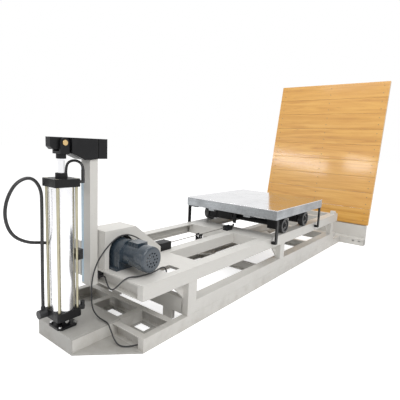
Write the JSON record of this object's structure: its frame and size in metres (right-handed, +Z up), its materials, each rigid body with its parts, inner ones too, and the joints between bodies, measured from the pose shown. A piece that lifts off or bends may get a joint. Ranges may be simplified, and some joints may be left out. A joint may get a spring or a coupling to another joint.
{
  "type": "incline impact tester",
  "caption": "Package impact tester: sled on a tilting track, pneumatic lift cylinder, rope winch and a leaning wooden impact panel.",
  "frame": {"origin": "middle of the footprint, on the floor", "axes": "+X along the track from the lift column to the impact panel, +Y to the side away from the motor, +Z up"},
  "size_m": [4.6065, 1.384, 1.9534],
  "materials": {
    "frame_paint": "satin light grey paint",
    "nose_paint": "satin mid grey paint",
    "black_paint": "satin black paint",
    "alloy": "bright anodised",
    "chrome": "polished",
    "zinc": "zinc plated",
    "bright_steel": "machined",
    "sled_steel": "brushed sheet",
    "motor_paint": "gloss blue grey paint",
    "wheel_black": "satin black nylon",
    "black_plastic": "matt",
    "hose_rubber": "satin",
    "brass": "satin",
    "boards": "varnished",
    "scale_face": "printed",
    "rope_steel": "stranded"
  },
  "bodies": {
    "base": {"base_rails": "frame_paint", "base_cross_members": "frame_paint", "nose_cover": "nose_paint", "nose_floor_plate": "nose_paint", "cylinder_clevis": "black_paint", "clevis_fasteners": "bright_steel", "cable_floor": "hose_rubber", "pivot_brackets": "frame_paint", "panel_foot_beam": "frame_paint", "panel_brace_frame": "frame_paint", "panel_rear_frame": "frame_paint", "panel_boards": "boards", "panel_screws": "bright_steel"},
    "tilt_frame": {"tilt_rails": "frame_paint", "track_plates": "frame_paint", "tilt_chords": "frame_paint", "tilt_posts": "frame_paint", "end_beam": "frame_paint", "centre_beam": "frame_paint", "cross_beams": "frame_paint", "deck_plate": "frame_paint", "rail_stops": "frame_paint", "pivot_shaft": "bright_steel", "column": "frame_paint", "scale_strip": "scale_face", "lift_arm": "black_paint", "winch_hood": "frame_paint", "gearbox_case": "motor_paint", "motor_case": "motor_paint", "fan_cover": "motor_paint", "bearing_blocks": "motor_paint", "rope_guides": "black_paint", "winch_rope": "rope_steel", "junction_boxes": "black_plastic", "cable_long": "hose_rubber", "cable_short": "hose_rubber"},
    "drum": {"winch_drum": "bright_steel"},
    "rotor": {"motor_rotor": "bright_steel"},
    "roller": {"guide_roller": "bright_steel"},
    "hook": {"release_hook": "black_paint"},
    "cylinder": {"bottom_cap": "black_paint", "cylinder_barrel": "alloy", "top_cap": "black_paint", "tie_rods": "zinc", "exhaust_valve": "black_plastic", "port_fittings": "black_plastic", "hose_loop": "hose_rubber", "hose_top": "hose_rubber"},
    "rod": {"piston": "alloy", "piston_rod": "chrome", "rod_fork": "black_paint", "top_pin": "brass"},
    "sled": {"sled_deck": "sled_steel", "sled_frame": "sled_steel", "wheel_brackets": "black_paint", "side_guides": "black_paint"},
    "wheel_body_near_high": {"wheel_near_high": "wheel_black"},
    "wheel_body_near_low": {"wheel_near_low": "wheel_black"},
    "wheel_body_far_high": {"wheel_far_high": "wheel_black"},
    "wheel_body_far_low": {"wheel_far_low": "wheel_black"}
  },
  "joints": [
    {"name": "tilt", "type": "hinge", "parent": "base", "child": "tilt_frame", "pos_m": [1.0845, 0, 0.122], "axis": [0, 1, 0], "range_deg": [0, 10]},
    {"name": "cylinder_swing", "type": "hinge", "parent": "base", "child": "cylinder", "pos_m": [-2.1205, 0, 0.125], "axis": [0, 1, 0], "range_deg": [0, 8.19]},
    {"name": "rod_slide", "type": "slide", "parent": "cylinder", "child": "rod", "axis": [0, 0, 1], "range_m": [0, 0.5576]},
    {"name": "sled_slide", "type": "slide", "parent": "tilt_frame", "child": "sled", "axis": [1, 0, 0], "range_m": [-0.72, 0.78]},
    {"name": "drum_turn", "type": "hinge", "parent": "tilt_frame", "child": "drum", "pos_m": [-1.8005, 0, 0.47], "axis": [0, 1, 0], "continuous": true},
    {"name": "rotor_turn", "type": "hinge", "parent": "tilt_frame", "child": "rotor", "pos_m": [-1.8005, -0.0002, 0.47], "axis": [0, 1, 0], "continuous": true},
    {"name": "roller_turn", "type": "hinge", "parent": "tilt_frame", "child": "roller", "pos_m": [-0.9585, -0.009, 0.3877], "axis": [0, 1, 0], "continuous": true},
    {"name": "hook_release", "type": "hinge", "parent": "tilt_frame", "child": "hook", "pos_m": [-0.5335, -0.009, 0.4017], "axis": [0, 1, 0], "range_deg": [0, 10], "stiffness_Nm_per_rad": 2, "springref_deg": -17.19},
    {"name": "wheel_near_high_roll", "type": "hinge", "parent": "sled", "child": "wheel_body_near_high", "pos_m": [-0.2755, -0.39, 0.4443], "axis": [0, 1, 0], "range_deg": [-608, 659]},
    {"name": "wheel_near_low_roll", "type": "hinge", "parent": "sled", "child": "wheel_body_near_low", "pos_m": [0.1645, -0.39, 0.4443], "axis": [0, 1, 0], "range_deg": [-608, 659]},
    {"name": "wheel_far_high_roll", "type": "hinge", "parent": "sled", "child": "wheel_body_far_high", "pos_m": [-0.2755, 0.39, 0.4443], "axis": [0, 1, 0], "range_deg": [-608, 659]},
    {"name": "wheel_far_low_roll", "type": "hinge", "parent": "sled", "child": "wheel_body_far_low", "pos_m": [0.1645, 0.39, 0.4443], "axis": [0, 1, 0], "range_deg": [-608, 659]}
  ],
  "couplings": [
    {"joint": "cylinder_swing", "follows": "tilt", "ratio": 0.8176},
    {"joint": "rod_slide", "follows": "tilt", "m_per_rad": 3.1934},
    {"joint": "rotor_turn", "follows": "drum_turn", "ratio": 20},
    {"joint": "wheel_near_high_roll", "follows": "sled_slide", "rad_per_m": 14.706},
    {"joint": "wheel_near_low_roll", "follows": "sled_slide", "rad_per_m": 14.706},
    {"joint": "wheel_far_high_roll", "follows": "sled_slide", "rad_per_m": 14.706},
    {"joint": "wheel_far_low_roll", "follows": "sled_slide", "rad_per_m": 14.706}
  ]
}
